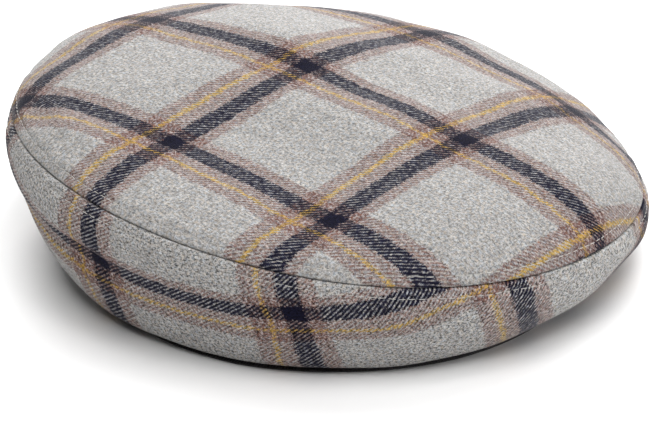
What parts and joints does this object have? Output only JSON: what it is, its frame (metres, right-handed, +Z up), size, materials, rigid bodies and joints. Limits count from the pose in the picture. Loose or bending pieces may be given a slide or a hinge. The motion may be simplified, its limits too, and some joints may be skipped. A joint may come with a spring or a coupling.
{
  "type": "tam o' shanter",
  "caption": "Flat round wool cap with a domed check top panel sewn to a turned-under side panel and a dark band round the head opening, lying on its opening.",
  "frame": {"origin": "middle of the cap's outline, on the surface the cap lies on", "axes": "+Z up from the surface through the crown, +Y to the back of the cap as it lies, along its longest extent, +X to the right as seen from the front"},
  "size_m": [0.2619, 0.2756, 0.0787],
  "materials": {
    "crown_top": "heather grey wool twill with a navy, taupe and yellow check",
    "under_panel": "heather grey wool twill with a navy, taupe and yellow check",
    "headband": "black ribbed band"
  },
  "bodies": {
    "root": {"crown_top": "crown_top", "under_panel": "under_panel", "headband": "headband"}
  },
  "joints": []
}
